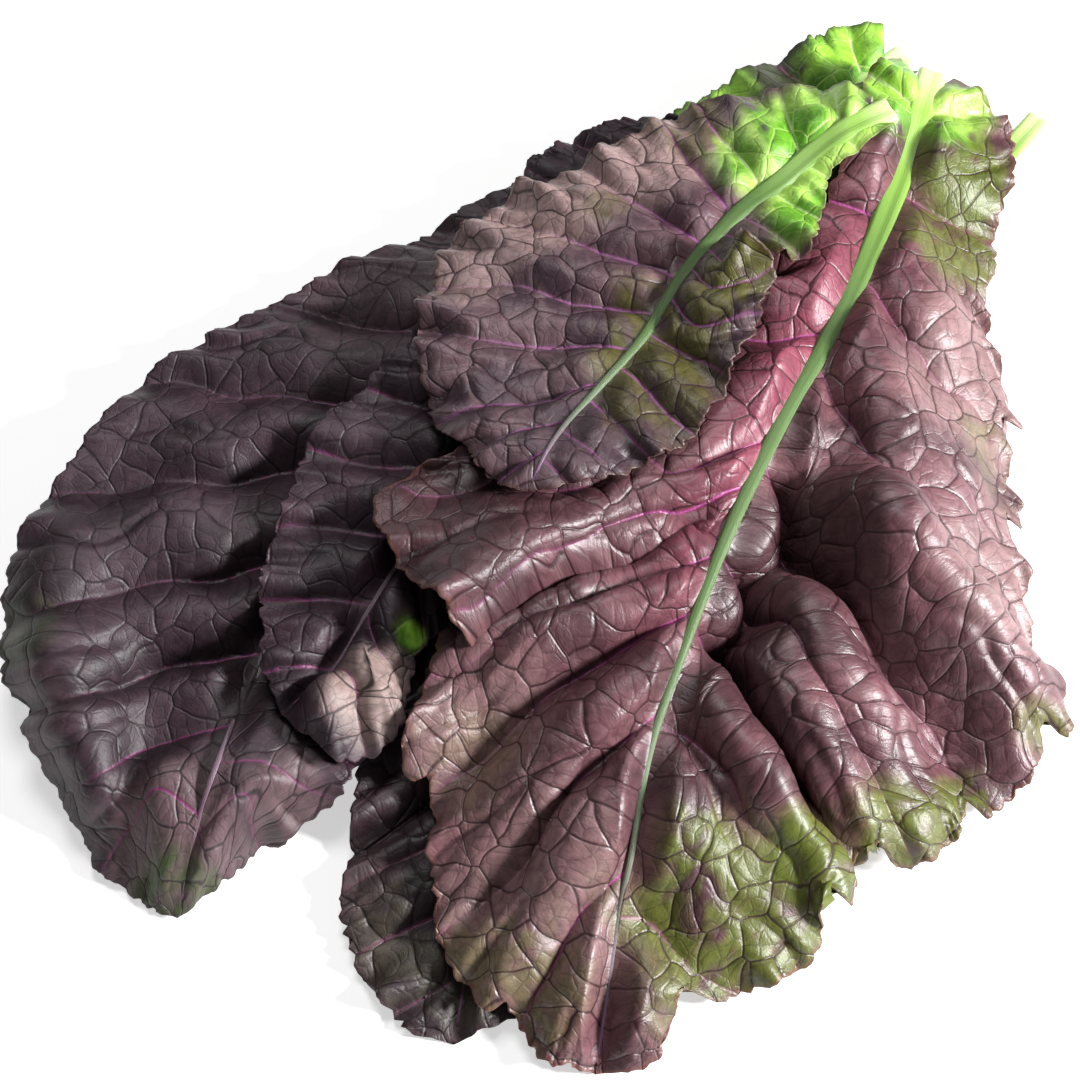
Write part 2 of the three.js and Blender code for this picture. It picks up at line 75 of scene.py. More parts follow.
# midrib: points from the cut end, in mm. left and right: side veins, each as
# [share of the midrib where it starts, points on the way, point on the margin]
leaves = {
    "right_leaf": {
        "midrib": [[192, 185, 8], [172, 160, 8], [150, 118, 8], [128, 60, 8], [112, 5, 8], [104, -45, 8],
                   [103, -85, 7]],
        "tip": [104, -116, 3], "stalkWidth": 9, "seed": 11, "pillow": 0.16, "pucker": 1.0, "ruffle": 1.5,
        "left": [
            [0.04, [], [186, 182, 9]], [0.08, [], [171, 178, 8]], [0.16, [], [148, 160, 5]],
            [0.28, [], [112, 112, 4]], [0.42, [], [88, 60, 4]], [0.56, [], [74, 10, 3]],
            [0.7, [], [70, -36, 3]], [0.85, [], [80, -84, 2]],
        ],
        "right": [
            [0.1, [], [176, 160, 7]], [0.16, [], [169, 138, 5]], [0.28, [], [163, 100, 4]],
            [0.42, [], [156, 50, 3]], [0.56, [], [150, 4, 3]], [0.7, [], [142, -42, 2]],
            [0.85, [], [128, -90, 2]],
        ],
    },
    "lower_leaf": {
        "midrib": [[130, 186, 8], [104, 140, 8], [74, 80, 8], [42, 20, 8], [14, -35, 8], [-8, -85, 8],
                   [-20, -130, 6]],
        "tip": [-28, -176, 1], "stalkWidth": 10, "seed": 12, "pillow": 0.24, "pucker": 0.7, "ruffle": 2,
        "left": [
            [0.06, [], [118, 178, 7]], [0.16, [], [80, 138, 4]], [0.3, [], [26, 70, 3]],
            [0.44, [], [-20, 12, 3]],
            [0.56, [], [-48, -38, 5]], [0.66, [], [-63, -98, 12]], [0.73, [], [-61, -112, 3]],
            [0.79, [], [-66, -128, 9]], [0.87, [], [-60, -148, 3]], [0.94, [], [-49, -167, 2]],
        ],
        "right": [
            [0.06, [], [132, 172, 7]], [0.16, [], [122, 120, 4]], [0.3, [], [102, 60, 3]],
            [0.44, [], [82, 0, 3]],
            [0.58, [], [58, -60, 3]], [0.72, [], [34, -112, 3]], [0.87, [], [4, -158, 3]],
        ],
    },
    "left_leaf": {
        "midrib": [
            [142, 211, 12], [130, 201, 12], [116, 185, 13], [78, 150, 15], [20, 100, 18], [-38, 46, 20],
            [-78, -6, 18], [-98, -56, 17], [-107, -92, 30], [-112, -106, 24],
        ],
        "tip": [-120, -134, 3], "stalkWidth": 13, "seed": 13, "pillow": 0.4, "pucker": 0.45, "ruffle": 1.5,
        "calmTip": 0.85,
        "left": [
            [0.02, [], [138, 222, 15]], [0.05, [], [118, 221, 16]], [0.09, [], [94, 208, 14]],
            [0.165, [], [62, 190, 12]], [0.265, [], [10, 158, 12]], [0.36, [], [-48, 124, 14]],
            [0.44, [], [-98, 94, 16]], [0.53, [], [-142, 60, 18]], [0.6, [], [-171, 15, 20]],
            [0.69, [[-144, -24, 24], [-168, -34, 30]], [-182, -32, 20]],
            [0.77, [[-138, -54, 16], [-157, -68, 30]], [-173, -68, 18]],
            [0.84, [[-132, -80, 18], [-146, -92, 28]], [-159, -96, 14]],
            [0.92, [[-126, -98, 28]], [-144, -119, 3]],
        ],
        "right": [
            [0.03, [], [146, 204, 12]], [0.09, [], [128, 174, 10]], [0.18, [], [108, 140, 10]],
            [0.3, [], [60, 90, 10]], [0.42, [], [18, 40, 10]], [0.54, [], [-16, -6, 10]],
            [0.66, [], [-40, -52, 8]],
            [0.78, [[-80, -66, 14]], [-60, -86, 10]], [0.88, [[-88, -90, 27]], [-68, -98, 12]],
            [0.94, [[-98, -100, 28]], [-94, -112, 6]],
        ],
    },
    "middle_leaf": {
        "midrib": [
            [134, 186, 24], [112, 164, 24], [76, 126, 25], [33, 86, 26], [-5, 47, 28], [-37, 4, 28],
            [-60, -36, 27], [-72, -58, 25],
        ],
        "tip": [-86, -72, 22], "stalkWidth": 11, "seed": 14, "pillow": 0.36, "pucker": 0.5, "ruffle": 2,
        "left": [
            [0.03, [], [130, 190, 22]], [0.1, [], [88, 172, 20]], [0.18, [], [42, 171, 20]],
            [0.27, [], [12, 165, 20]],
            [0.36, [], [-5, 150, 20]], [0.45, [], [-24, 116, 22]], [0.53, [], [-45, 72, 26]],
            [0.61, [], [-64, 50, 28]], [0.69, [], [-81, 28, 30]], [0.77, [], [-89, -4, 32]],
            [0.85, [], [-94, -30, 32]], [0.93, [], [-92, -56, 28]],
        ],
        "right": [
            [0.03, [], [138, 180, 22]], [0.1, [], [122, 158, 20]], [0.18, [], [106, 130, 22]],
            [0.27, [], [82, 92, 24]],
            [0.36, [], [56, 55, 24]], [0.46, [], [26, 18, 24]], [0.57, [], [-8, -12, 24]],
            [0.67, [], [-28, -34, 25]],
            [0.77, [], [-38, -46, 28]], [0.86, [[-54, -50, 32]], [-44, -58, 24]],
            [0.93, [[-64, -60, 32]], [-57, -86, 14]],
        ],
    },
    "front_leaf": {
        "midrib": [
            [150, 195, 20], [136, 151, 26], [118, 103, 36], [103, 69, 40], [87, 39, 43], [64, -11, 44],
            [47, -55, 40], [36, -87, 34], [30, -119, 27], [26, -136, 20],
        ],
        "tip": [18, -186, 2], "stalkWidth": 11, "seed": 15, "pillow": 0.32, "pucker": 0.75, "ruffle": 2,
        "notches": [[168, 42, 7, 16], [172, 3, 7, 14], [178, -74, 9, 10], [148, -103, 6, 8],
                    [116, -120, 9, 7], [97, -136, 9, 8], [52, -160, 9, 10], [-13, -168, 5, 8],
                    [-40, -95, 5, 8]],
        "veinsAt": {"left": [0, 1, 3, 5, 7, 8, 10.3, 12, 14, 15.7, 17],
                    "right": [0, 1, 3, 5.4, 7.4, 9, 10.4, 11.7, 13.5, 15.5, 18]},
        "left": [
            [0.03, [], [137, 198, 24]], [0.065, [], [124, 188, 26]], [0.11, [], [116, 164, 28]],
            [0.19, [], [106, 132, 30]],
            [0.27, [], [82, 99, 34]],
            [0.33, [], [58, 65, 36]], [0.38, [], [27, 33, 38]], [0.45, [[40, 8, 46]], [-54, 4, 42]],
            [0.5, [[32, -8, 46], [6, -20, 46]], [-29, -49, 42]],
            [0.53, [[34, -22, 22], [8, -26, 6]], [-18, -40, 2]],
            [0.56, [[30, -30, 36], [2, -40, 32]], [-34, -57, 22]],
            [0.585, [[24, -42, 40], [-8, -58, 30]], [-44, -80, 17]],
            [0.62, [[20, -56, 34], [-8, -76, 26]], [-38, -102, 14]],
            [0.66, [[18, -76, 36], [-2, -96, 28]], [-33, -120, 14]],
            [0.71, [[14, -94, 30], [-2, -118, 22]], [-33, -143, 8]], [0.78, [[10, -124, 26]], [-20, -162, 6]],
            [0.87, [[12, -148, 16]], [-2, -178, 3]],
        ],
        "right": [
            [0.03, [], [158, 194, 20]], [0.065, [], [172, 178, 22]], [0.11, [], [176, 154, 21]],
            [0.15, [], [168, 120, 15]], [0.19, [], [162, 84, 12]],
            [0.24, [[146, 66, 28]], [169, 43, 8]], [0.29, [[138, 38, 30]], [169, 2, 6]],
            [0.34, [[132, 8, 36]], [168, -35, 6]],
            [0.4, [[99, 14, 32], [120, -10, 50], [148, -38, 34]], [178, -69, 5]],
            [0.47, [[84, -6, 18], [104, -32, 24], [126, -62, 12]], [151, -99, 3]],
            [0.54, [[73, -24, 18], [88, -42, 38], [108, -74, 28]], [132, -113, 6]],
            [0.6, [[66, -40, 14], [80, -54, 30], [92, -84, 24]], [112, -121, 6]],
            [0.645, [[58, -56, 8], [70, -70, 2], [82, -88, 0]], [101, -107, 1]],
            [0.69, [[50, -68, 32], [66, -90, 34]], [99, -133, 14]],
            [0.76, [[52, -98, 28], [66, -122, 20]], [93, -145, 4]], [0.84, [[40, -124, 22]], [74, -156, 3]],
            [0.91, [], [52, -165, 3]], [0.96, [], [36, -182, 2]],
        ],
    },
    "top_leaf": {
        "midrib": [
            [129, 162, 34], [112, 153, 36], [99, 144, 37], [86, 132, 40], [72, 118, 43], [53, 92, 47],
            [35, 60, 50],
            [21, 41, 52], [10, 26, 51], [3, 12, 48],
        ],
        "tip": [-4, -2, 38], "stalkWidth": 11, "seed": 16, "pillow": 0.3, "pucker": 0.8, "ruffle": 3,
        "left": [
            [0.04, [], [123, 168, 34]], [0.1, [], [109, 175, 35]], [0.18, [], [88, 176, 34]],
            [0.27, [], [59, 168, 33]],
            [0.35, [], [43, 163, 32]], [0.43, [], [14, 143, 32]], [0.51, [], [-20, 125, 30]],
            [0.59, [], [-39, 93, 30]],
            [0.67, [], [-43, 68, 30]], [0.75, [], [-35, 30, 32]], [0.84, [], [-22, 15, 34]],
            [0.92, [], [-16, 3, 36]],
        ],
        "right": [
            [0.04, [], [130, 156, 34]], [0.1, [], [116, 144, 36]], [0.18, [], [105, 134, 38]],
            [0.26, [], [101, 112, 41]],
            [0.34, [], [94, 97, 43]], [0.39, [], [82, 93, 48]], [0.43, [[66, 88, 54]], [70, 99, 60]],
            [0.48, [[62, 76, 56]], [81, 83, 60]], [0.55, [[56, 62, 56]], [77, 66, 58]],
            [0.63, [], [65, 43, 52]],
            [0.71, [], [52, 21, 48]], [0.79, [], [38, 11, 46]], [0.87, [], [25, 5, 44]],
            [0.94, [], [10, 0, 41]],
        ],
    },
}


def splineThrough(points, samples):
    # centripetal curve through the points, at even steps along its length
    p = np.asarray(points, float)
    if len(p) == 2:
        t = np.linspace(0, 1, samples)[:, None]
        return p[0] * (1 - t) + p[1] * t
    p = np.vstack([2 * p[0] - p[1], p, 2 * p[-1] - p[-2]])
    out = []
    for i in range(1, len(p) - 2):
        a, b, c, d = p[i - 1:i + 3]
        ta = 0.0
        tb = ta + max(np.linalg.norm(b - a), 1e-6) ** 0.5
        tc = tb + max(np.linalg.norm(c - b), 1e-6) ** 0.5
        td = tc + max(np.linalg.norm(d - c), 1e-6) ** 0.5
        t = np.linspace(tb, tc, 40, endpoint=(i == len(p) - 3))[:, None]
        ab = (tb - t) / (tb - ta) * a + (t - ta) / (tb - ta) * b
        bc = (tc - t) / (tc - tb) * b + (t - tb) / (tc - tb) * c
        cd = (td - t) / (td - tc) * c + (t - tc) / (td - tc) * d
        abc = (tc - t) / (tc - ta) * ab + (t - ta) / (tc - ta) * bc
        bcd = (td - t) / (td - tb) * bc + (t - tb) / (td - tb) * cd
        out.append((tc - t) / (tc - tb) * abc + (t - tb) / (tc - tb) * bcd)
    out = np.vstack(out)
    reached = np.concatenate([[0], np.cumsum(np.linalg.norm(np.diff(out, axis=0), axis=1))])
    want = np.linspace(0, reached[-1], samples)
    return np.stack([np.interp(want, reached, out[:, k]) for k in range(3)], -1)


def alongMidrib(leaf, share):
    line = leaf["line"]
    at = np.asarray(share) * (len(line) - 1)
    point = np.stack([np.interp(at, np.arange(len(line)), line[:, k]) for k in range(3)], -1)
    ahead = np.stack([np.interp(at + 6, np.arange(len(line)), line[:, k]) for k in range(3)], -1)
    behind = np.stack([np.interp(at - 6, np.arange(len(line)), line[:, k]) for k in range(3)], -1)
    along = ahead - behind
    return point, along / np.linalg.norm(along, axis=-1, keepdims=True)


def ribWidth(leaf, share):
    # half the width of the stalk and midrib
    return leaf["stalkWidth"] / 2 * (0.08 + 0.92 * np.clip(1 - share, 0, 1) ** 1.25)


def catmull(rows, at):
    # rows: (number, columns, 3); at: real row numbers
    count = len(rows)
    i = np.clip(np.floor(at).astype(int), 0, count - 2)
    t = (at - i)[:, None, None]
    pick = [rows[np.clip(i + k, 0, count - 1)] for k in (-1, 0, 1, 2)]
    a, b, c, d = pick
    return 0.5 * (2 * b + (c - a) * t + (2 * a - 5 * b + 4 * c - d) * t ** 2 + (3 * b - a - 3 * c + d)
                  * t ** 3)


def buildSide(leaf, side):
    # the side's surface as rows from the midrib to the margin, with the measures the veins and colours use
    outward = 1 if side == "left" else -1
    rungs = leaf[side] + [[1.0, [], leaf["tip"]]]
    shares = np.array([r[0] for r in rungs])
    columns = 120
    curves = []
    for share, through, edge in rungs:
        root = alongMidrib(leaf, share)[0]
        curves.append(splineThrough([root, *through, edge], columns))
    curves = np.array(curves)
    # rows are spread by how long the margin and the middle are between veins
    fine = np.linspace(0, len(rungs) - 1, 1600)
    margin = catmull(curves[:, -1:, :], fine)[:, 0]
    middle = catmull(curves[:, columns // 2:columns // 2 + 1, :], fine)[:, 0]
    stepLength = np.maximum(np.linalg.norm(np.diff(margin, axis=0), axis=1),
                            np.linalg.norm(np.diff(middle, axis=0), axis=1))
    reached = np.concatenate([[0], np.cumsum(stepLength)])
    return {"curves": curves, "shares": shares, "fine": fine, "reached": reached, "outward": outward}


def blendRows(leaf):
    # both sides share their rows, so that the blade is one sheet over the midrib
    left, right = buildSide(leaf, "left"), buildSide(leaf, "right")
    first = max(left["shares"][0], right["shares"][0])
    grid = np.linspace(first, 1, 4000)
    total = np.zeros_like(grid)
    for side in (left, right):
        w = np.interp(grid, side["shares"], np.arange(len(side["shares"])))
        total = np.maximum(total, 0) + np.interp(w, side["fine"], side["reached"]) * 0.5
    rowStep = spacing * 1.15
    count = int((total[-1] - total[0]) / rowStep)
    share = np.interp(np.linspace(total[0], total[-1], count), total, grid)
    return left, right, share


def bladeSurface(leaf):
    left, right, share = blendRows(leaf)
    halves = []
    for side in (left, right):
        w = np.interp(share, side["shares"], np.arange(len(side["shares"])))
        rows = catmull(side["curves"], w)
        length = np.linalg.norm(np.diff(rows, axis=1), axis=2).sum(1)
        widest = np.percentile(length, 92)
        columns = int(widest / spacing)
        t = np.linspace(0, 1, columns + 1) * (rows.shape[1] - 1)
        i = np.clip(np.floor(t).astype(int), 0, rows.shape[1] - 2)
        f = (t - i)[None, :, None]
        points = rows[:, i] * (1 - f) + rows[:, i + 1] * f
        v = np.linspace(0, 1, columns + 1)[None, :].repeat(len(share), 0)
        halves.append({"points": points, "w": w[:, None].repeat(columns + 1, 1), "v": v,
                       "length": length[:, None].repeat(columns + 1, 1), "side": side})
    return halves, share


def toothed(leaf, half):
    # lobes and small teeth: rows reach a little more or less far, and the margin goes up and down
    points, v = half["points"], half["v"]
    margin = points[:, -1]
    walked = np.concatenate([[0], np.cumsum(np.linalg.norm(np.diff(margin, axis=0), axis=1))])
    seed = leaf["seed"] * 10 + (0 if half["side"]["outward"] > 0 else 1)
    big = wavy(walked, 0 * walked, 26, seed + 1)
    toothPhase = walked / 7.5 + 0.8 * wavy(walked, 0 * walked, 30, seed + 2)
    tooth = 1 - np.abs((toothPhase % 1) * 2 - 0.7) / 1.3
    fineTooth = 1 - np.abs(((walked / 2.9) % 1) * 2 - 1)
    reach = (big * 1.6 + tooth * 2.2 + fineTooth * 0.5 - 1.2)
    fade = smooth(0.0, 0.12, half["w"][:, 0] / half["w"].max()) * smooth(0, 25, half["length"][:, 0])
    reach = reach * fade
    for x, y, depth, width in leaf.get("notches", []):
        # a lobe ends in a step that runs back out along the margin
        off = np.hypot(margin[:, 0] - x, margin[:, 1] - y)
        if off.min() < 12:
            past = walked - walked[np.argmin(off)]
            reach = reach - 1.35 * depth * np.where(past > 0, np.exp(-np.clip(past, 0, None) / width),
                                                    smooth(-3, 0, past))
    direction = margin - points[:, -2]
    direction /= np.maximum(np.linalg.norm(direction, axis=1, keepdims=True), 1e-6)
    weight = smooth(0, 1, np.clip(1 - (1 - v) * half["length"] / 14, 0, 1))
    points = points + (direction * reach[:, None])[:, None, :] * weight[:, :, None]
    half["points"] = points
    half["margin"] = (1 - v) * half["length"]
    half["walked"] = walked[:, None].repeat(v.shape[1], 1)
    return half


def gridNormals(points):
    du = np.gradient(points, axis=0)
    dv = np.gradient(points, axis=1)
    n = np.cross(du, dv)
    n /= np.maximum(np.linalg.norm(n, axis=2, keepdims=True), 1e-9)
    return n if n[..., 2].mean() > 0 else -n


def joinSides(leaf, halves, share):
    # left side reversed, then the midrib, then the right side
    out = {}
    for key in ("points", "w", "v", "length", "margin", "walked"):
        a, b = halves[0][key], halves[1][key]
        out[key] = np.concatenate([a[:, ::-1], b[:, 1:]], axis=1)
    leftColumns = halves[0]["v"].shape[1]
    out["middle"] = leftColumns - 1
    out["isLeft"] = np.zeros(out["v"].shape, bool)
    out["isLeft"][:, :leftColumns] = True
    out["share"] = share[:, None].repeat(out["v"].shape[1], 1)
    return out


def vein2d(values, scale, name):
    # cell network of a vein scale, read from the same pattern that the material draws
    flat = values["flat"].reshape(-1, 2)
    mesh = bpy.data.meshes.new(name)
    mesh.from_pydata([(x, y, 0) for x, y in flat], [], [])
    holder = bpy.data.objects.new(name, mesh)
    bpy.context.scene.collection.objects.link(holder)
    tree = bpy.data.node_groups.new(name, "GeometryNodeTree")
    tree.interface.new_socket("Geometry", in_out="INPUT", socket_type="NodeSocketGeometry")
    tree.interface.new_socket("Geometry", in_out="OUTPUT", socket_type="NodeSocketGeometry")
    start, end = tree.nodes.new("NodeGroupInput"), tree.nodes.new("NodeGroupOutput")
    place = tree.nodes.new("GeometryNodeInputPosition")
    cells = tree.nodes.new("ShaderNodeTexVoronoi")
    cells.voronoi_dimensions, cells.feature = "2D", "DISTANCE_TO_EDGE"
    cells.inputs["Scale"].default_value = scale
    cells.inputs["Randomness"].default_value = 0.9
    keep = tree.nodes.new("GeometryNodeStoreNamedAttribute")
    keep.data_type, keep.domain = "FLOAT", "POINT"
    keep.inputs["Name"].default_value = "cell"
    tree.links.new(start.outputs[0], keep.inputs["Geometry"])
    tree.links.new(place.outputs[0], cells.inputs["Vector"])
    tree.links.new(cells.outputs["Distance"], keep.inputs["Value"])
    tree.links.new(keep.outputs[0], end.inputs[0])
    holder.modifiers.new("net", "NODES").node_group = tree
    bpy.context.view_layer.update()
    result = holder.evaluated_get(bpy.context.evaluated_depsgraph_get()).data
    got = np.zeros(len(flat), np.float32)
    result.attributes["cell"].data.foreach_get("value", got)
    bpy.data.objects.remove(holder)
    bpy.data.meshes.remove(mesh)
    bpy.data.node_groups.remove(tree)
    return got.reshape(values["v"].shape) / scale  # in mm


netScale = {"coarse": 1 / 12.0, "fine": 1 / 5.0}  # cells about 12 mm and 5 mm across


def relief(leaf, g):
    # how far the tissue stands above the veins, in mm
    seed = leaf["seed"]
    du = np.linalg.norm(np.gradient(g["points"], axis=0), axis=2)
    dw = np.abs(np.gradient(g["w"], axis=0))
    gap = du / np.maximum(dw, 1e-4)  # mm between lateral veins here
    gap = np.clip(gap, 4, 60)
    phase = g["w"].copy()
    perVein = np.ones(phase.shape)
    for name, onSide in (("left", g["isLeft"]), ("right", ~g["isLeft"])):
        at = leaf.get("veinsAt", {}).get(name)
        if at:
            phase[onSide] = np.interp(g["w"][onSide], at, np.arange(len(at)))
            inside = np.clip(np.searchsorted(at, g["w"][onSide]) - 1, 0, len(at) - 2)
            perVein[onSide] = np.diff(at)[inside]
    gap = np.clip(gap * perVein, 4, 60)
    awayFromRib = smooth(0, 30, g["v"] * g["length"])
    phase = phase + 0.09 * wavy(g["flat"][..., 0], g["flat"][..., 1], 40, seed + 50) * awayFromRib
    offLateral = np.abs(((phase + 0.5) % 1) - 0.5)
    g["lateral"] = offLateral * gap
    halfGap = gap * 0.5
    pillow = 1 - (1 - np.clip(g["lateral"] / halfGap, 0, 1)) ** 2
    reachIn = smooth(0, 12, g["v"] * g["length"])
    h = leaf["pillow"] * np.clip(gap, 0, 34) * pillow * reachIn * (1 - 0.55 * g["v"])
    h *= 1 - leaf.get("calmTip", 0) * smooth(0.76, 0.88, g["share"])
    # a fork of each lateral, half way to its neighbour, towards the margin
    fork = np.abs((phase % 1) - 0.5) * gap
    forkFade = smooth(0.35, 0.75, g["v"]) * smooth(14, 24, gap)
    h -= 1.6 * forkFade * np.exp(-(fork / 2.6) ** 2)
    g["fork"] = fork + 40 * (1 - forkFade)
    # puckers between the net veins
    coarse = 0.55 * (1 - np.exp(-g["coarse"] / 0.8)) + 0.6 * (1 - (1 - np.clip(g["coarse"] / 4.2, 0, 1)) ** 2)
    fine = 1 - np.exp(-g["fine"] / 0.6)
    strength = leaf["pucker"] * (0.75 + 0.35 * wavy(g["flat"][..., 0], g["flat"][..., 1], 60, seed + 51))
    calm = smooth(0, 9, g["v"] * g["length"]) * (0.35 + 0.65 * smooth(0.1, 0.4, g["share"]))
    h += strength * coarse * calm + 0.1 * fine * calm
    # softer swells
    h += 1.6 * wavy(g["flat"][..., 0], g["flat"][..., 1], 42, seed + 52) * calm
    # margin ruffle
    near = smooth(0, 1, np.clip(1 - g["margin"] / 22, 0, 1)) * smooth(6, 30, g["length"])
    h += leaf["ruffle"] * near * (np.sin(g["walked"] / 4.1 + 2 * wavy(g["walked"], 0 * g["walked"], 50,
                                                                      seed + 53))
                                  + 0.6 * np.sin(g["walked"] / 2.3 + seed))
    return h


def makeFlat(leaf, g):
    # flattened coordinates in mm, a little warped so that veins wander
    p = g["points"]
    root = p[:, g["middle"]:g["middle"] + 1, :2]
    out = p[..., :2] - root
    far = np.linalg.norm(out, axis=2, keepdims=True)
    steps = np.linalg.norm(np.diff(p, axis=1), axis=2)
    walked = np.concatenate([np.zeros((len(p), 1)), np.cumsum(steps, axis=1)], axis=1)
    walked = np.abs(walked - walked[:, g["middle"]:g["middle"] + 1])
    flat = root + out / np.maximum(far, 1e-6) * np.maximum(walked[..., None], far)
    seed = leaf["seed"]
    x, y = flat[..., 0], flat[..., 1]
    g["flat"] = np.stack([x + 1.6 * wavy(x, y, 17, seed + 60) + 500 * (seed - 10),
                          y + 1.6 * wavy(x, y, 17, seed + 61)], -1)


# stacking: a leaf is lifted just clear of what lies below
cell, mapReach = 2.0, 320.0
cells = int(2 * mapReach / cell) + 1
tops = np.zeros((cells, cells))


def cellOf(points):
    at = np.clip(np.round((points[..., :2] + mapReach) / cell).astype(int), 0, cells - 1)
    return at[..., 0], at[..., 1]


def spreadMap(values, radius, kind):
    out = values
    for axis in (0, 1):
        stack = [np.roll(out, k, axis) for k in range(-radius, radius + 1)]
        out = np.maximum.reduce(stack) if kind == "largest" else sum(stack) / len(stack)
    return out


def layDown(leaf, pieces, gap):
    low = np.full((cells, cells), 1e6)
    for points in pieces:
        ix, iy = cellOf(points.reshape(-1, 3))
        np.minimum.at(low, (ix, iy), points.reshape(-1, 3)[:, 2])
    need = np.where(low < 1e5, np.maximum(0, tops - low + np.where(tops > 0, gap, 0.0)), 0)
    need = spreadMap(spreadMap(need, 5, "largest"), 5, "mean")
    print("lift", leaf["seed"], "largest", round(float(need.max()), 1), "mean",
          round(float(need[low < 1e5].mean()), 1))
    for points in pieces:
        flat = points.reshape(-1, 3)
        at = (flat[:, :2] + mapReach) / cell
        i = np.clip(np.floor(at).astype(int), 0, cells - 2)
        f = at - i
        up = ((need[i[:, 0], i[:, 1]] * (1 - f[:, 0]) + need[i[:, 0] + 1, i[:, 1]] * f[:, 0]) * (1 - f[:, 1])
              + (need[i[:, 0], i[:, 1] + 1] * (1 - f[:, 0]) + need[i[:, 0] + 1, i[:, 1] + 1] * f[:,
                                                                                                 0]) * f[:, 1])
        flat[:, 2] += up
    fresh = np.zeros((cells, cells))
    for points in pieces:
        ix, iy = cellOf(points.reshape(-1, 3))
        np.maximum.at(fresh, (ix, iy), points.reshape(-1, 3)[:, 2])
    tops[:] = np.maximum(tops, spreadMap(fresh, 1, "largest"))


def meshFrom(name, vertices, faces, attributes):
    mesh = bpy.data.meshes.new(name)
    mesh.from_pydata(toFrame(vertices).tolist(), [], faces)
    for key, values in attributes.items():
        kind = "FLOAT_VECTOR" if values.ndim == 2 else "FLOAT"
        layer = mesh.attributes.new(key, kind, "POINT")
        layer.data.foreach_set("vector" if values.ndim == 2 else "value", values.astype(np.float32).ravel())
    mesh.validate()
    mesh.shade_smooth()
    piece = bpy.data.objects.new(name, mesh)
    bpy.context.scene.collection.objects.link(piece)
    return piece


def closeSheet(name, g, keys, thickness):
    # fine upper skin, and an under skin with every other row and column, stitched round the edge
    top = g["points"]
    n = gridNormals(top)
    rows, columns = top.shape[:2]
    pickRow = np.unique(np.r_[0:rows:2, rows - 1])
    pickColumn = np.unique(np.r_[0:columns:2, columns - 1])
    under = (top - n * thickness)[np.ix_(pickRow, pickColumn)]
    count = rows * columns
    topId = np.arange(count).reshape(rows, columns)
    underId = (count + np.arange(under.shape[0] * under.shape[1])).reshape(under.shape[:2])
    a, b, c, d = topId[:-1, :-1], topId[1:, :-1], topId[1:, 1:], topId[:-1, 1:]
    faces = np.stack([a, b, c, d], -1).reshape(-1, 4)
    ua, ub, uc, ud = underId[:-1, :-1], underId[:-1, 1:], underId[1:, 1:], underId[1:, :-1]
    underFaces = np.stack([ua, ub, uc, ud], -1).reshape(-1, 4)
    edgeFaces = []

    def stitch(topLine, underLine, picks, flip):
        for k in range(len(picks) - 1):
            run = [topLine[i] for i in range(picks[k], picks[k + 1] + 1)]
            ring = run + [underLine[k + 1], underLine[k]]
            edgeFaces.append(ring[::-1] if flip else ring)

    stitch(topId[:, 0], underId[:, 0], pickRow, True)
    stitch(topId[:, -1], underId[:, -1], pickRow, False)
    stitch(topId[0, :], underId[0, :], pickColumn, False)
    stitch(topId[-1, :], underId[-1, :], pickColumn, True)
    vertices = np.vstack([top.reshape(-1, 3), under.reshape(-1, 3)])
    attributes = {}
    for key in keys:
        values = g[key]
        tail = values.shape[2:]
        attributes[key] = np.concatenate([values.reshape((-1,) + tail),
                                          values[np.ix_(pickRow, pickColumn)].reshape((-1,) + tail)])
    attributes["under"] = np.concatenate([np.zeros(count), np.ones(under.shape[0] * under.shape[1])])
    attributes["flat"] = np.concatenate([attributes["flat"], np.zeros((len(attributes["flat"]), 1))], axis=1)
    allFaces = faces.tolist() + underFaces.tolist() + edgeFaces
    piece = meshFrom(name, vertices, allFaces, attributes)
    sheet = bmesh.new()
    sheet.from_mesh(piece.data)
    bmesh.ops.remove_doubles(sheet, verts=sheet.verts, dist=1e-6)
    bmesh.ops.dissolve_degenerate(sheet, edges=sheet.edges, dist=1e-7)
    bmesh.ops.recalc_face_normals(sheet, faces=sheet.faces)
    sheet.to_mesh(piece.data)
    sheet.free()
    return piece


def stalkSurface(leaf):
    # oval tube with fine grooves, from the cut end to the tip; flatter on top
    around, rings = 28, 220
    share = np.linspace(0, 0.985, rings)
    centre, along = alongMidrib(leaf, share)
    across = np.stack([along[:, 1], -along[:, 0], 0 * along[:, 0]], -1)
    across /= np.linalg.norm(across, axis=1, keepdims=True)
    up = np.cross(across, along)
    half = ribWidth(leaf, share)
    angle = np.linspace(0, math.tau, around, endpoint=False)
    groove = 1 + 0.035 * np.cos(angle * 9)[None, :] * smooth(0.0, 0.1, 1 - share)[:, None]
    side = np.cos(angle)[None, :] * half[:, None] * groove
    rise = np.where(np.sin(angle) > 0, 0.42, 0.85)[None, :] * np.sin(angle)[None, :] * half[:, None] * groove
    rise = rise - 0.25 * half[:,
                              None] * np.exp(-(np.cos(angle)[None,
                                                             :] / 0.5) ** 2) * (np.sin(angle) > 0)[None, :] \
        * (1 - smooth(0.15, 0.4, share))[:, None]
    points = centre[:, None] + across[:, None] * side[..., None] + up[:, None] * rise[..., None]
    return points, share


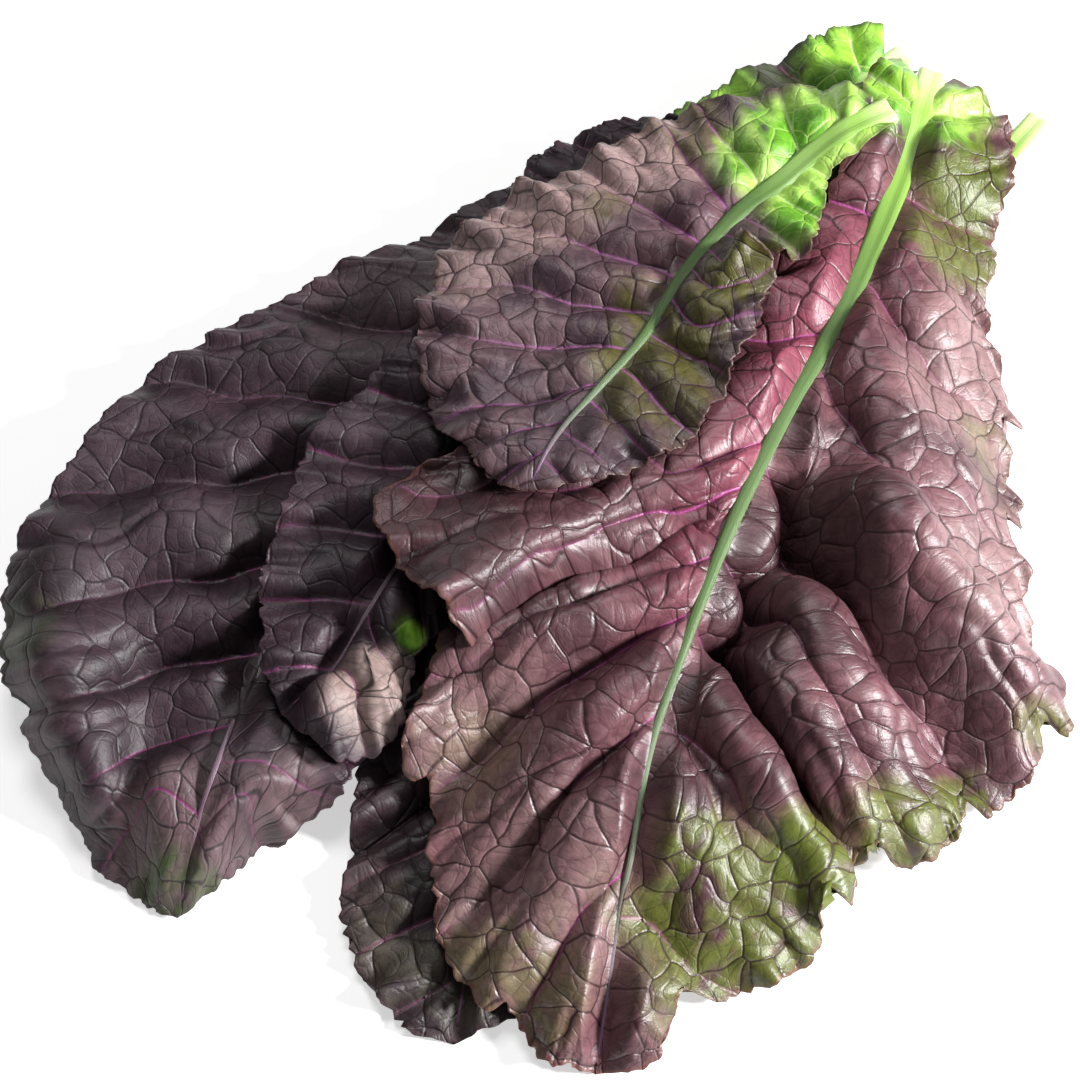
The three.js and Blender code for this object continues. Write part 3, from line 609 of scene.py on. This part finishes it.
bladePieces, stalkPieces = {}, {}
for leafName, leaf in leaves.items():
    leaf["line"] = splineThrough(leaf["midrib"] + [leaf["tip"]], 600)
    halves, share = bladeSurface(leaf)
    halves = [toothed(leaf, half) for half in halves]
    g = joinSides(leaf, halves, share)
    makeFlat(leaf, g)
    g["coarse"] = vein2d(g, netScale["coarse"], "netCoarse")
    g["fine"] = vein2d(g, netScale["fine"], "netFine")
    height = relief(leaf, g)
    normals = gridNormals(g["points"])
    g["points"] = g["points"] + normals * height[..., None]
    g["rib"] = g["v"] * g["length"]
    stalk, stalkShare = stalkSurface(leaf)
    layDown(leaf, [g["points"], stalk], restGap)
    leaf["grid"], leaf["stalk"], leaf["stalkAt"] = g, stalk, stalkShare
    print("shaped", leafName, g["points"].shape)


def addNode(tree, kind, settings=None, inputs=None):
    # adds a node, sets its properties, and fills or links its inputs
    node = tree.nodes.new(kind)
    for key, value in (settings or {}).items():
        setattr(node, key, value)
    for key, value in (inputs or {}).items():
        socket = node.inputs[key]
        if isinstance(value, bpy.types.NodeSocket):
            tree.links.new(value, socket)
        else:
            socket.default_value = value
    return node


def newMaterial(name):
    material = bpy.data.materials.new(name)
    material.use_nodes = True
    tree = material.node_tree
    tree.nodes.clear()
    output = tree.nodes.new("ShaderNodeOutputMaterial")
    shader = tree.nodes.new("ShaderNodeBsdfPrincipled")
    tree.links.new(shader.outputs["BSDF"], output.inputs["Surface"])
    return material, tree, shader


def leafMaterial(name, look):
    # fresh leaf skin: a waxy, satin cuticle over pigment,
    # dark where the red pigment is dense and green where it is thin; the tissue colour also holds painted
    # shade and painted light
    material, tree, shader = newMaterial(name)
    flat = addNode(tree, "ShaderNodeAttribute", {"attribute_name": "flat"}).outputs["Vector"]
    tissue = addNode(tree, "ShaderNodeAttribute", {"attribute_name": "tissue"}).outputs["Color"]
    netTint = addNode(tree, "ShaderNodeAttribute", {"attribute_name": "netTint"}).outputs["Color"]
    veinTint = addNode(tree, "ShaderNodeAttribute", {"attribute_name": "veinTint"}).outputs["Color"]
    veinShow = addNode(tree, "ShaderNodeAttribute", {"attribute_name": "veinShow"}).outputs["Fac"]
    lateral = addNode(tree, "ShaderNodeAttribute", {"attribute_name": "lateral"}).outputs["Fac"]
    fork = addNode(tree, "ShaderNodeAttribute", {"attribute_name": "fork"}).outputs["Fac"]
    edge = addNode(tree, "ShaderNodeAttribute", {"attribute_name": "margin"}).outputs["Fac"]
    coarse = addNode(tree, "ShaderNodeTexVoronoi",
                     {"voronoi_dimensions": "2D", "feature": "DISTANCE_TO_EDGE"},
                     {"Vector": flat, "Scale": netScale["coarse"], "Randomness": 0.9}).outputs["Distance"]
    fine = addNode(tree, "ShaderNodeTexVoronoi", {"voronoi_dimensions": "2D", "feature": "DISTANCE_TO_EDGE"},
                   {"Vector": flat, "Scale": netScale["fine"], "Randomness": 0.9}).outputs["Distance"]
    # pigment lies in small uneven freckles, a few mm across
    mottle = addNode(tree, "ShaderNodeTexNoise", {"noise_dimensions": "2D"},
                     {"Vector": flat, "Scale": 0.3, "Detail": 4.0, "Roughness": 0.65}).outputs[0]
    shade = addNode(tree, "ShaderNodeMapRange", None,
                    {"Value": mottle, "From Min": 0.3, "From Max": 0.7, "To Min": 0.72,
                     "To Max": 1.2}).outputs["Result"]
    colour = addNode(tree, "ShaderNodeVectorMath", {"operation": "SCALE"},
                     {0: tissue, "Scale": shade}).outputs[0]
    # net veins are dark red hairlines about 0.5 mm wide, with fainter ones between them; their dark is partly
    # vein colour and partly painted shade where the veins sink
    line = addNode(tree, "ShaderNodeMapRange", {"interpolation_type": "SMOOTHSTEP"},
                   {"Value": coarse, "From Min": 0.008, "From Max": 0.042, "To Min": 0.85,
                    "To Max": 0.0}).outputs["Result"]
    thin = addNode(tree, "ShaderNodeMapRange", {"interpolation_type": "SMOOTHSTEP"},
                   {"Value": fine, "From Min": 0.015, "From Max": 0.07, "To Min": 0.28,
                    "To Max": 0.0}).outputs["Result"]
    net = addNode(tree, "ShaderNodeMath", {"operation": "MAXIMUM"}, {0: line, 1: thin}).outputs[0]
    colour = addNode(tree, "ShaderNodeMix", {"data_type": "RGBA"},
                     {"Factor": net, 6: colour, 7: netTint}).outputs[2]
    # side veins: magenta near the midrib, fading outwards
    veinLine = addNode(tree, "ShaderNodeMapRange", {"interpolation_type": "SMOOTHSTEP"},
                       {"Value": lateral, "From Min": 0.15, "From Max": 0.95, "To Min": 1.0,
                        "To Max": 0.0}).outputs["Result"]
    veinShare = addNode(tree, "ShaderNodeMath", {"operation": "MULTIPLY"},
                        {0: veinLine, 1: veinShow}).outputs[0]
    colour = addNode(tree, "ShaderNodeMix", {"data_type": "RGBA"},
                     {"Factor": veinShare, 6: colour, 7: veinTint}).outputs[2]
    # the fork lines take the net colour too: partly vein colour, partly painted shade in the fork grooves
    forkLine = addNode(tree, "ShaderNodeMapRange", {"interpolation_type": "SMOOTHSTEP"},
                       {"Value": fork, "From Min": 0.2, "From Max": 0.8, "To Min": 0.6,
                        "To Max": 0.0}).outputs["Result"]
    colour = addNode(tree, "ShaderNodeMix", {"data_type": "RGBA"},
                     {"Factor": forkLine, 6: colour, 7: netTint}).outputs[2]
    # a thin brown rim on the teeth
    rim = addNode(tree, "ShaderNodeMapRange", {"interpolation_type": "SMOOTHSTEP"},
                  {"Value": edge, "From Min": 0.3, "From Max": 2.4, "To Min": 0.6,
                   "To Max": 0.0}).outputs["Result"]
    colour = addNode(tree, "ShaderNodeMix", {"data_type": "RGBA"},
                     {"Factor": rim, 6: colour, 7: srgb(look["rim"])}).outputs[2]
    tree.links.new(colour, shader.inputs["Base Color"])
    # the cuticle dips into each net vein and is finely wrinkled between, 0.6 mm apart
    dip = addNode(tree, "ShaderNodeMapRange", {"interpolation_type": "SMOOTHSTEP"},
                  {"Value": coarse, "From Min": 0.0, "From Max": 0.06, "To Min": 0.0,
                   "To Max": 0.5}).outputs["Result"]
    smallDip = addNode(tree, "ShaderNodeMapRange", {"interpolation_type": "SMOOTHSTEP"},
                       {"Value": fine, "From Min": 0.0, "From Max": 0.14, "To Min": 0.0,
                        "To Max": 0.14}).outputs["Result"]
    grain = addNode(tree, "ShaderNodeTexNoise", {"noise_dimensions": "2D"},
                    {"Vector": flat, "Scale": 1.2, "Detail": 3.0, "Roughness": 0.6}).outputs[0]
    height = addNode(tree, "ShaderNodeMath", {"operation": "ADD"}, {0: dip, 1: smallDip}).outputs[0]
    height = addNode(tree, "ShaderNodeMath", {"operation": "MULTIPLY_ADD"},
                     {0: grain, 1: 0.3, 2: height}).outputs[0]
    height = addNode(tree, "ShaderNodeMath", {"operation": "MULTIPLY_ADD"},
                     {0: veinLine, 1: -0.3, 2: height}).outputs[0]
    bump = addNode(tree, "ShaderNodeBump", None, {"Height": height, "Strength": 0.5, "Distance": 0.0009})
    tree.links.new(bump.outputs["Normal"], shader.inputs["Normal"])
    rough = addNode(tree, "ShaderNodeMath", {"operation": "MULTIPLY_ADD"},
                    {0: mottle, 1: 0.2, 2: look["rough"]}).outputs[0]
    tree.links.new(rough, shader.inputs["Roughness"])
    shader.inputs["IOR"].default_value = 1.47
    shader.inputs["Specular IOR Level"].default_value = 0.6
    return material


def stalkMaterial(name, look):
    # fresh stalk: smooth, moist, ribbed along its length; pale at the cut
    material, tree, shader = newMaterial(name)
    place = addNode(tree, "ShaderNodeAttribute", {"attribute_name": "place"})
    split = addNode(tree, "ShaderNodeSeparateXYZ", None, {0: place.outputs["Vector"]})
    stretched = addNode(tree, "ShaderNodeMapping", None,
                        {"Vector": place.outputs["Vector"], "Scale": (3.0, 60.0, 1.0)})
    streaks = addNode(tree, "ShaderNodeTexNoise", None,
                      {"Vector": stretched.outputs[0], "Scale": 1.0, "Detail": 3.0}).outputs[0]
    ramp = addNode(tree, "ShaderNodeValToRGB", None, {"Fac": split.outputs["X"]})
    stops = ramp.color_ramp.elements
    stops[0].position, stops[0].color = 0.0, srgb(look["cut"])
    stops[1].position, stops[1].color = 1.0, srgb(look["tip"])
    for at, code in ((0.06, look["base"]), (0.3, look["mid"]), (0.62, look["mid"]), (0.8, look["upper"])):
        stop = stops.new(at)
        stop.color = srgb(code)
    colour = addNode(tree, "ShaderNodeMix", {"data_type": "RGBA", "blend_type": "MULTIPLY"},
                     {"Factor": 0.35, 6: ramp.outputs["Color"],
                      7: addNode(tree, "ShaderNodeMix", {"data_type": "RGBA"},
                                 {"Factor": streaks, 6: (0.45, 0.55, 0.35, 1),
                                  7: (1, 1, 1, 1)}).outputs[2]}).outputs[2]
    tree.links.new(colour, shader.inputs["Base Color"])
    bump = addNode(tree, "ShaderNodeBump", None, {"Height": streaks, "Strength": 0.4, "Distance": 0.0006})
    tree.links.new(bump.outputs["Normal"], shader.inputs["Normal"])
    shader.inputs["Roughness"].default_value = 0.4
    shader.inputs["IOR"].default_value = 1.42
    shader.inputs["Subsurface Weight"].default_value = 0.15
    shader.inputs["Subsurface Radius"].default_value = (0.004, 0.006, 0.002)
    shader.inputs["Subsurface Scale"].default_value = 1.0
    return material


# where the colours lie: round patches [x, y, radius, strength] on the laid leaf, in mm; the dark patches are
# painted shade where a leaf lies in shadow, and the pale patches are partly paler tissue and partly painted
# light
colourPlan = {
    "right_leaf": {
        "look": {"blush": "#8a5560", "blushShare": 0.4, "deep": "#5a3f44", "body": "#8b6a6c",
                 "bloom": "#a98b8b", "pale": "#b59a98", "olive": "#6e7f2c",
                 "limeDeep": "#4f8a18", "lime": "#8fce35", "net": "#4a2830", "vein": "#9a5f7a",
                 "rim": "#6b4630", "rough": 0.45},
        "green": [[150, 130, 40, 0.8], [104, -116, 18, 1.0]], "lime": [[178, 172, 26, 1.0]], "pale": [],
        "paintedShade": [],
    },
    "lower_leaf": {
        "look": {"blush": "#4a2433", "blushShare": 0.5, "deep": "#2a1a20", "body": "#3f2a31",
                 "bloom": "#5a4147", "pale": "#6f5558", "olive": "#3c4420",
                 "limeDeep": "#3f6a18", "lime": "#7fb52c", "net": "#1c0f14", "vein": "#6a3350",
                 "rim": "#2f1a20", "rough": 0.42},
        "green": [[-40, -150, 30, 0.35]], "lime": [], "pale": [[-62, -118, 14, 0.3]],
        "paintedShade": [[-10, -120, 60, 0.6]],
    },
    "left_leaf": {
        "look": {"blush": "#4a2438", "blushShare": 0.5, "deep": "#281820", "body": "#3a2630",
                 "bloom": "#4c3640", "pale": "#6f565a", "olive": "#3d4a26",
                 "limeDeep": "#4f8a1c", "lime": "#98d040", "net": "#1d1016", "vein": "#7a2f62",
                 "rim": "#33202a", "rough": 0.44},
        "green": [[-120, -128, 16, 1.0], [-176, -40, 16, 0.6], [60, 192, 30, 1.0], [95, 205, 24, 0.8]],
        "lime": [[118, 208, 22, 1.0], [136, 216, 14, 1.0], [66, 186, 20, 0.9]],
        "pale": [[-120, -112, 28, 0.75], [-84, -100, 16, 0.8], [-168, -72, 16, 0.35], [104, 208, 16, 0.6],
                 [-40, 110, 50, 0.25]],
        "paintedShade": [[-60, -30, 50, 0.5]],
    },
    "middle_leaf": {
        "look": {"blush": "#4a2438", "blushShare": 0.5, "deep": "#2a1a24", "body": "#3e2934",
                 "bloom": "#523a46", "pale": "#9c8680", "olive": "#46502a",
                 "limeDeep": "#4f8a1c", "lime": "#98d040", "net": "#1d1016", "vein": "#8a3a70",
                 "rim": "#3a2430", "rough": 0.44},
        "green": [[-44, -44, 7, 1.0]], "lime": [[112, 166, 26, 1.0], [-43, -44, 5, 1.0]],
        "pale": [[-56, -66, 18, 1.0]], "paintedShade": [[-20, -20, 30, 0.6]],
    },
    "front_leaf": {
        "look": {"blush": "#8a3a50", "blushShare": 0.75, "deep": "#4d3036", "body": "#6b464c",
                 "bloom": "#86666a",
                 "pale": "#8f7070", "olive": "#57601f", "limeDeep": "#5d9420", "lime": "#96c446",
                 "net": "#2c1016",
                 "vein": "#a8468a", "veinRight": 0.35, "rim": "#6a4034", "rough": 0.32},
        "green": [[60, -140, 40, 0.9], [92, -128, 26, 1.0], [118, -112, 22, 0.9], [142, -100, 18, 0.9],
                  [172, -70, 12, 0.7], [-10, -160, 30, 0.5], [-24, -88, 22, 0.3], [152, 118, 26, 0.85],
                  [162, 30, 18, 0.5], [158, 146, 24, 1.0]],
        "lime": [[156, 174, 20, 0.8], [132, 180, 24, 1.0]],
        "pale": [[160, 60, 40, 0.8], [166, -20, 34, 0.7], [0, -135, 40, 0.6], [40, 30, 26, 0.3],
                 [-24, -80, 30, 0.7]],
        "paintedShade": [[-40, -10, 46, 0.9], [84, -20, 34, 0.7], [66, -66, 22, 0.9], [40, -110, 22, 0.5]],
    },
    "top_leaf": {
        "look": {"blush": "#6f4450", "blushShare": 0.35, "deep": "#43313a", "body": "#5f484e",
                 "bloom": "#8c7476",
                 "pale": "#a88c88", "olive": "#4f4c1c", "limeDeep": "#5f9c20", "lime": "#a6d25a",
                 "net": "#2c161e",
                 "vein": "#96508a", "rim": "#4a3026", "rough": 0.36},
        "green": [[44, 60, 30, 0.9], [74, 84, 22, 1.0], [40, 36, 22, 0.7], [56, 160, 18, 0.7],
                  [24, 120, 10, 0.6]],
        "lime": [[104, 152, 34, 1.0], [84, 142, 22, 0.8], [96, 118, 20, 1.0]],
        "pale": [[0, 130, 34, 0.9], [40, 150, 30, 0.9], [-30, 100, 24, 0.6]],
        "paintedShade": [[20, 20, 30, 0.6], [60, 40, 26, 0.6]],
    },
}


def blend(share, under, above):
    return under * (1 - share[..., None]) + np.asarray(above)[..., :3] * share[..., None]


def paintTissue(leaf, g, plan):
    # pigment of the tissue and its veins at every point of the blade, with painted shade and painted light
    # laid into it
    look, seed = plan["look"], leaf["seed"]
    tone = {key: np.array(srgb(code))[:3] for key, code in look.items() if isinstance(code, str)}
    x, y = g["flat"][..., 0], g["flat"][..., 1]
    blotch = wavy(x, y, 34, seed + 70)
    speck = wavy(x, y, 9, seed + 71)
    share = {key: patches(g["points"], plan[key], seed) for key in ("green", "lime", "pale", "paintedShade")}
    tissue = blend(smooth(-0.6, 0.6, blotch), tone["deep"] + 0 * g["points"], tone["body"])
    tissue = blend(0.3 * smooth(0.1, 0.9, speck), tissue, tone["bloom"])
    # pale patches: partly paler tissue, such as an underside turned up, and partly painted light where a side
    # faces the lamp
    tissue = blend(0.8 * share["pale"], tissue, tone["pale"])
    blushSide = np.where(g["isLeft"], 1 - smooth(0.5, 0.68, g["share"]),
                         0.35 * (1 - smooth(0.2, 0.4, g["share"])))
    blushShare = look["blushShare"] * blushSide * (1 - smooth(2, 46, g["rib"]))
    tissue = blend(blushShare * smooth(0.1, 0.3, g["share"]), tissue, tone["blush"])
    # painted shade: the dark patches darken the tissue where the leaf lies in shadow, under other leaves or in
    # pleat valleys
    tissue = blend(0.85 * share["paintedShade"], tissue, tone["deep"] * 0.6)
    olive = np.clip(share["green"] * smooth(-0.75, 0.35,
                                            0.6 * blotch + 0.5 * speck + 0.5 * (share["green"] - 0.5)), 0, 1)
    tissue = blend(olive, tissue, tone["olive"])
    fresh = blend(smooth(-0.5, 0.5, blotch + 0.4 * speck), tone["limeDeep"] + 0 * g["points"], tone["lime"])
    lime = share["lime"] * smooth(-1.2, -0.2, speck + 1.2 * share["lime"] - 0.6)
    g["tissue"] = blend(np.clip(lime, 0, 1), tissue, fresh)
    # net line colour: near black, partly vein colour and partly painted shade in the sunk veins; pale green in
    # the lime parts
    g["netTint"] = blend(share["lime"], tone["net"] + 0 * g["points"], srgb("#9cc25a"))
    g["veinTint"] = blend(share["lime"], tone["vein"] + 0 * g["points"], srgb("#c4dd92"))
    g["veinShow"] = 0.9 * (1 - 0.8 * smooth(8, 70, g["rib"])) * np.where(g["isLeft"], 1.0,
                                                                         look.get("veinRight", 0.7))


def patches(points, plan, seed):
    x, y = points[..., 0], points[..., 1]
    out = np.zeros(x.shape)
    for px, py, radius, strength in plan:
        far = np.hypot(x - px, y - py) / radius + 0.18 * wavy(x, y, 24, seed)
        out = np.maximum(out, strength * (1 - smooth(0.55, 1.15, far)))
    return out


stalkLook = {"cut": "#d6e8a4", "base": "#94be54", "mid": "#5c7844", "upper": "#74846a", "tip": "#8a5c8a"}
darkStalkLook = {"cut": "#dcebb8", "base": "#a8cf72", "mid": "#86a060", "upper": "#8a7a84", "tip": "#6a3a5c"}

for leafName, leaf in leaves.items():
    plan = colourPlan[leafName]
    g = leaf["grid"]
    paintTissue(leaf, g, plan)
    blade = closeSheet(leafName + "_blade_skin", g,
                       ["flat", "lateral", "fork", "margin", "tissue", "netTint", "veinTint", "veinShow"],
                       bladeThickness)
    blade.data.materials.append(leafMaterial(leafName + "_skin", plan["look"]))
    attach(blade, "root")
    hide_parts(leafName + "_blade")

    points = leaf["stalk"]
    rings, around = points.shape[:2]
    ids = np.arange(rings * around).reshape(rings, around)
    nextIds = np.roll(ids, -1, axis=1)
    faces = np.stack([ids[:-1], ids[1:], nextIds[1:], nextIds[:-1]], -1).reshape(-1, 4).tolist()
    faces += [ids[0].tolist(), ids[-1][::-1].tolist()]
    place = np.stack([leaf["stalkAt"][:, None].repeat(around, 1),
                      (np.arange(around) / around)[None, :].repeat(rings, 0), 0 * points[..., 0]],
                      -1).reshape(-1, 3)
    stalk = meshFrom(leafName + "_stalk_skin", points.reshape(-1, 3), faces, {"place": place})
    stalk.data.materials.append(stalkMaterial(leafName + "_stalk",
                                              stalkLook if leafName in ("front_leaf", "top_leaf",
                                                                        "right_leaf") else darkStalkLook))
    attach(stalk, "root")
    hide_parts(leafName + "_stalk")
    print("made", leafName, len(blade.data.polygons), len(stalk.data.polygons))

# table, light and camera
floorMesh = bpy.data.meshes.new("table")
half = 3.0  # metres from the middle of the table to its edge
floorMesh.from_pydata([(-half, -half, 0), (half, -half, 0), (half, half, 0), (-half, half, 0)], [],
                      [(0, 1, 2, 3)])
table = bpy.data.objects.new("table", floorMesh)
bpy.context.scene.collection.objects.link(table)
tableMaterial, tableTree, tableShader = newMaterial("white_card")  # matt white card
tableShader.inputs["Base Color"].default_value = srgb("#f6f6f6")
tableShader.inputs["Roughness"].default_value = 0.9
tableShader.inputs["Emission Color"].default_value = (1, 1, 1, 1)
tableShader.inputs["Emission Strength"].default_value = 0.55
floorMesh.materials.append(tableMaterial)


def areaLight(name, place, target, width, power):
    light = bpy.data.lights.new(name, "AREA")
    light.shape, light.size, light.energy = "DISK", width, power
    holder = bpy.data.objects.new(name, light)
    holder.location = place
    holder.rotation_euler = (Vector(target) - Vector(place)).to_track_quat("-Z", "Y").to_euler()
    bpy.context.scene.collection.objects.link(holder)


areaLight("window", (1.5, -0.3, 0.85), (0.03, 0, 0.02), 0.35, 72)
areaLight("overhead", (-0.1, 1.0, 2.0), (0, 0, 0), 0.9, 20)
world = bpy.data.worlds.new("studio")
bpy.context.scene.world = world
world.use_nodes = True
world.node_tree.nodes["Background"].inputs["Color"].default_value = (1, 1, 1, 1)
world.node_tree.nodes["Background"].inputs["Strength"].default_value = 0.1

elevation = math.atan(2.0)  # about 63 degrees above the table
distance = 0.89285  # metres from the lens to the target
target = Vector(toFrame([0, 0, 15]).tolist())
camera = bpy.data.objects.new("camera", bpy.data.cameras.new("camera"))
camera.data.lens, camera.data.sensor_width = 85.0, 36.0
camera.location = target + Vector((0, -math.cos(elevation), math.sin(elevation))) * distance
camera.rotation_euler = (target - camera.location).to_track_quat("-Z", "Y").to_euler()
bpy.context.scene.collection.objects.link(camera)
bpy.context.scene.camera = camera
bpy.context.scene.view_settings.view_transform = "Standard"
